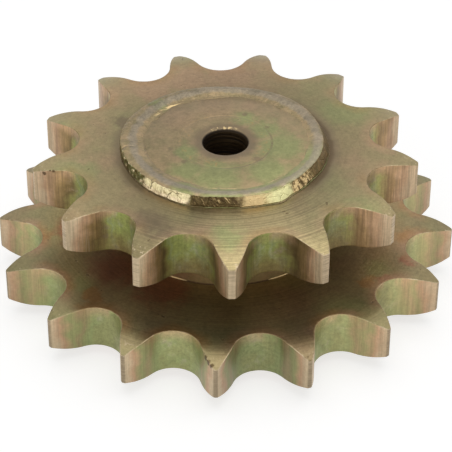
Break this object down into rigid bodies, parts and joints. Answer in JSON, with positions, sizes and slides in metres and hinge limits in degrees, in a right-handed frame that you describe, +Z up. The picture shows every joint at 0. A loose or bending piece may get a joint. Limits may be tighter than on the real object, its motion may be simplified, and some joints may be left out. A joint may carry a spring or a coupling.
{
  "type": "chain sprocket",
  "caption": "Stepped chain sprocket: a smaller and a larger toothed plate of the same pitch welded onto a turned hub with a plain pilot bore, yellow zinc plated.",
  "frame": {"origin": "on the bore axis, level with the lowest point of the lower weld, which the part stands on", "axes": "+Z up the bore towards the smaller plate; a tooth of the larger plate points along -Y"},
  "size_m": [0.1056, 0.1056, 0.0356],
  "materials": {
    "plate_zinc": "turned steel, yellow zinc plated, satin with green and pink tints",
    "hub_zinc": "turned steel, yellow zinc plated, satin",
    "weld_zinc": "dressed weld, yellow zinc plated, bright where cut"
  },
  "bodies": {
    "root": {"hub": "hub_zinc", "small_sprocket": "plate_zinc", "large_sprocket": "plate_zinc", "upper_weld": "weld_zinc", "lower_weld": "weld_zinc"}
  },
  "joints": []
}
